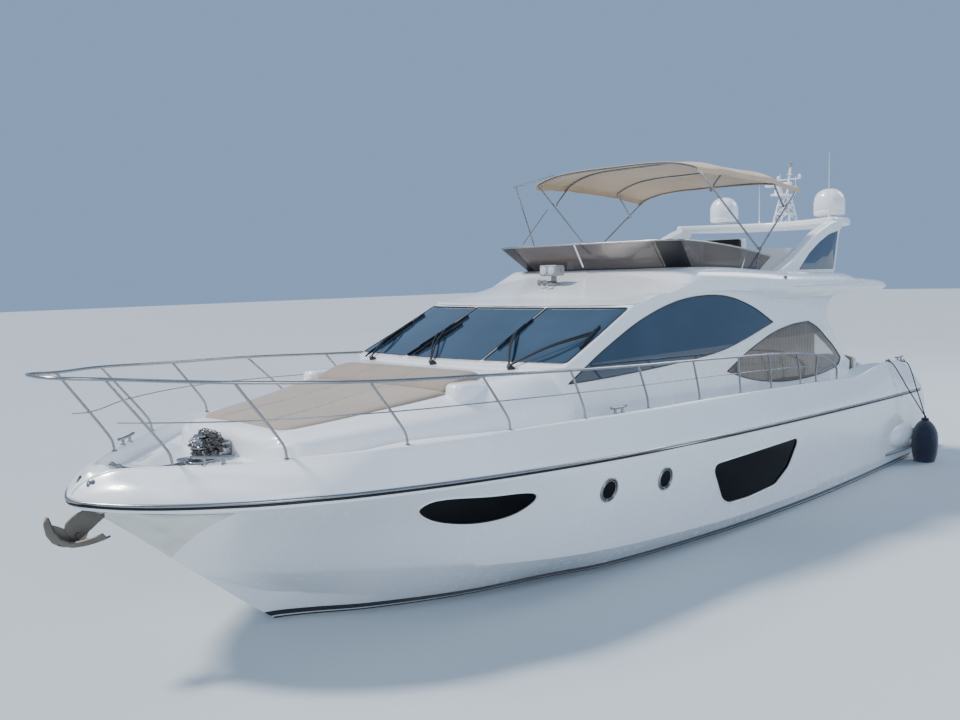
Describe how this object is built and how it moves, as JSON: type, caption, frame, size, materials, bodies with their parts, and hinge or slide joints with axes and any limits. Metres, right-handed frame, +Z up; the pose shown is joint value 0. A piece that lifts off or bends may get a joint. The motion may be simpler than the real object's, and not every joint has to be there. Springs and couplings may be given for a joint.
{
  "type": "flybridge motor yacht",
  "caption": "Flybridge motor yacht with a tinted saloon, smoked wind deflector, radar arch, folding sun canopy, bow rail and swim platform.",
  "frame": {"origin": "on the centreline at the waterline, near midships, where the boat floats", "axes": "+X to the bow, +Y to port, +Z up"},
  "size_m": [18.439, 5.4739, 7.7943],
  "materials": {
    "gelcoat": "glossy white gelcoat",
    "cabin_glass": "dark blue tinted",
    "black_glass": "black bonded glass",
    "smoke_glass": "smoke brown acrylic",
    "stainless": "polished stainless steel",
    "bronze": "cast manganese bronze",
    "canopy_cloth": "woven acrylic, beige",
    "cushion_beige": "marine vinyl, beige",
    "cushion_taupe": "marine vinyl, taupe",
    "fender_cloth": "navy fender cover",
    "rope": "black braided line",
    "teak": "teak planking",
    "machinery": "grey enamel",
    "joinery": "satin joinery"
  },
  "bodies": {
    "boat": {"hull": "gelcoat", "deck_moulding": "gelcoat", "aft_coaming": "gelcoat", "cockpit_bench": "cushion_beige", "flybridge_moulding": "gelcoat", "wind_deflector": "smoke_glass", "saloon_shell": "gelcoat", "windscreen_port": "cabin_glass", "windscreen_centre": "cabin_glass", "windscreen_starboard": "cabin_glass", "side_glass_port": "cabin_glass", "side_glass_starboard": "cabin_glass", "aft_glass_port": "cabin_glass", "aft_glass_starboard": "cabin_glass", "saloon_door_fixed": "cabin_glass", "saloon_interior": "joinery", "fly_interior": "gelcoat", "radar_arch": "gelcoat", "arch_panel_port": "smoke_glass", "arch_panel_starboard": "smoke_glass", "sat_dome_port": "gelcoat", "sat_dome_starboard": "gelcoat", "light_mast": "gelcoat", "searchlight": "stainless", "canopy_aft_bow": "stainless", "canopy_fabric": "canopy_cloth", "bow_rail_port": "stainless", "bow_rail_starboard": "stainless", "windlass": "stainless", "sunpad": "cushion_beige", "sunpad_backrest": "cushion_taupe", "anchor": "stainless", "fender": "fender_cloth", "fender_lines": "rope", "swim_platform": "teak", "engine_port": "machinery", "engine_starboard": "machinery", "hull_window_bow_port": "black_glass", "hull_window_mid_port": "black_glass", "hull_window_bow_starboard": "black_glass", "hull_window_mid_starboard": "black_glass"},
    "port_propeller": {"propeller_port": "bronze"},
    "starboard_propeller": {"propeller_starboard": "bronze"},
    "port_rudder": {"rudder_port": "bronze"},
    "starboard_rudder": {"rudder_starboard": "bronze"},
    "door_leaf": {"saloon_door_sliding": "cabin_glass"},
    "hatch": {"engine_hatch": "teak"},
    "locker_lid": {"anchor_locker_lid": "gelcoat"},
    "helm_wheel": {"fly_wheel": "stainless"},
    "scanner": {"radar_scanner": "gelcoat"},
    "front_bow": {"canopy_front_bow": "stainless"},
    "front_mid_bow": {"canopy_front_mid_bow": "stainless"},
    "aft_mid_bow": {"canopy_aft_mid_bow": "stainless"}
  },
  "joints": [
    {"name": "propeller_port_spin", "type": "hinge", "parent": "boat", "child": "port_propeller", "pos_m": [-6.802, 0.85, -1.11005], "axis": [-0.9799, 0, -0.1995], "continuous": true},
    {"name": "propeller_starboard_spin", "type": "hinge", "parent": "boat", "child": "starboard_propeller", "pos_m": [-6.802, -0.85, -1.11005], "axis": [-0.9799, 0, -0.1995], "continuous": true},
    {"name": "rudder_port_turn", "type": "hinge", "parent": "boat", "child": "port_rudder", "pos_m": [-7.5, 0.85, -1], "axis": [0, 0, 1], "range_deg": [-35, 35]},
    {"name": "rudder_starboard_turn", "type": "hinge", "parent": "boat", "child": "starboard_rudder", "pos_m": [-7.5, -0.85, -1], "axis": [0, 0, 1], "range_deg": [-35, 35]},
    {"name": "saloon_door_slide", "type": "slide", "parent": "boat", "child": "door_leaf", "axis": [0, -1, 0], "range_m": [0, 1.45]},
    {"name": "engine_hatch_lift", "type": "hinge", "parent": "boat", "child": "hatch", "pos_m": [-4.55, 0, 1.38], "axis": [0, 1, 0], "range_deg": [0, 75]},
    {"name": "anchor_locker_lift", "type": "hinge", "parent": "boat", "child": "locker_lid", "pos_m": [7.76, 0, 2.145], "axis": [0, -1, 0], "range_deg": [0, 80]},
    {"name": "helm_wheel_turn", "type": "hinge", "parent": "boat", "child": "helm_wheel", "pos_m": [-1.19, 0.72, 4.33], "axis": [-0.809, 0, 0.5878], "range_deg": [-540, 540]},
    {"name": "radar_scanner_spin", "type": "hinge", "parent": "boat", "child": "scanner", "pos_m": [-6.18, 0, 5.7], "axis": [0, 0, 1], "continuous": true},
    {"name": "canopy_fold", "type": "hinge", "parent": "boat", "child": "front_bow", "pos_m": [-2.05, 0, 4.371], "axis": [0, -1, 0], "range_deg": [0, 90], "deforming": ["canopy_fabric"]},
    {"name": "canopy_front_mid_fold", "type": "hinge", "parent": "front_bow", "child": "front_mid_bow", "pos_m": [-0.78682, 0, 5.28342], "axis": [0, -1, 0], "range_deg": [-58.5, 0]},
    {"name": "canopy_aft_mid_fold", "type": "hinge", "parent": "boat", "child": "aft_mid_bow", "pos_m": [-3.149, 0, 5.1235], "axis": [0, -1, 0], "range_deg": [0, 74.7]}
  ],
  "couplings": [
    {"joint": "canopy_front_mid_fold", "follows": "canopy_fold", "ratio": -0.65},
    {"joint": "canopy_aft_mid_fold", "follows": "canopy_fold", "ratio": 0.83}
  ]
}
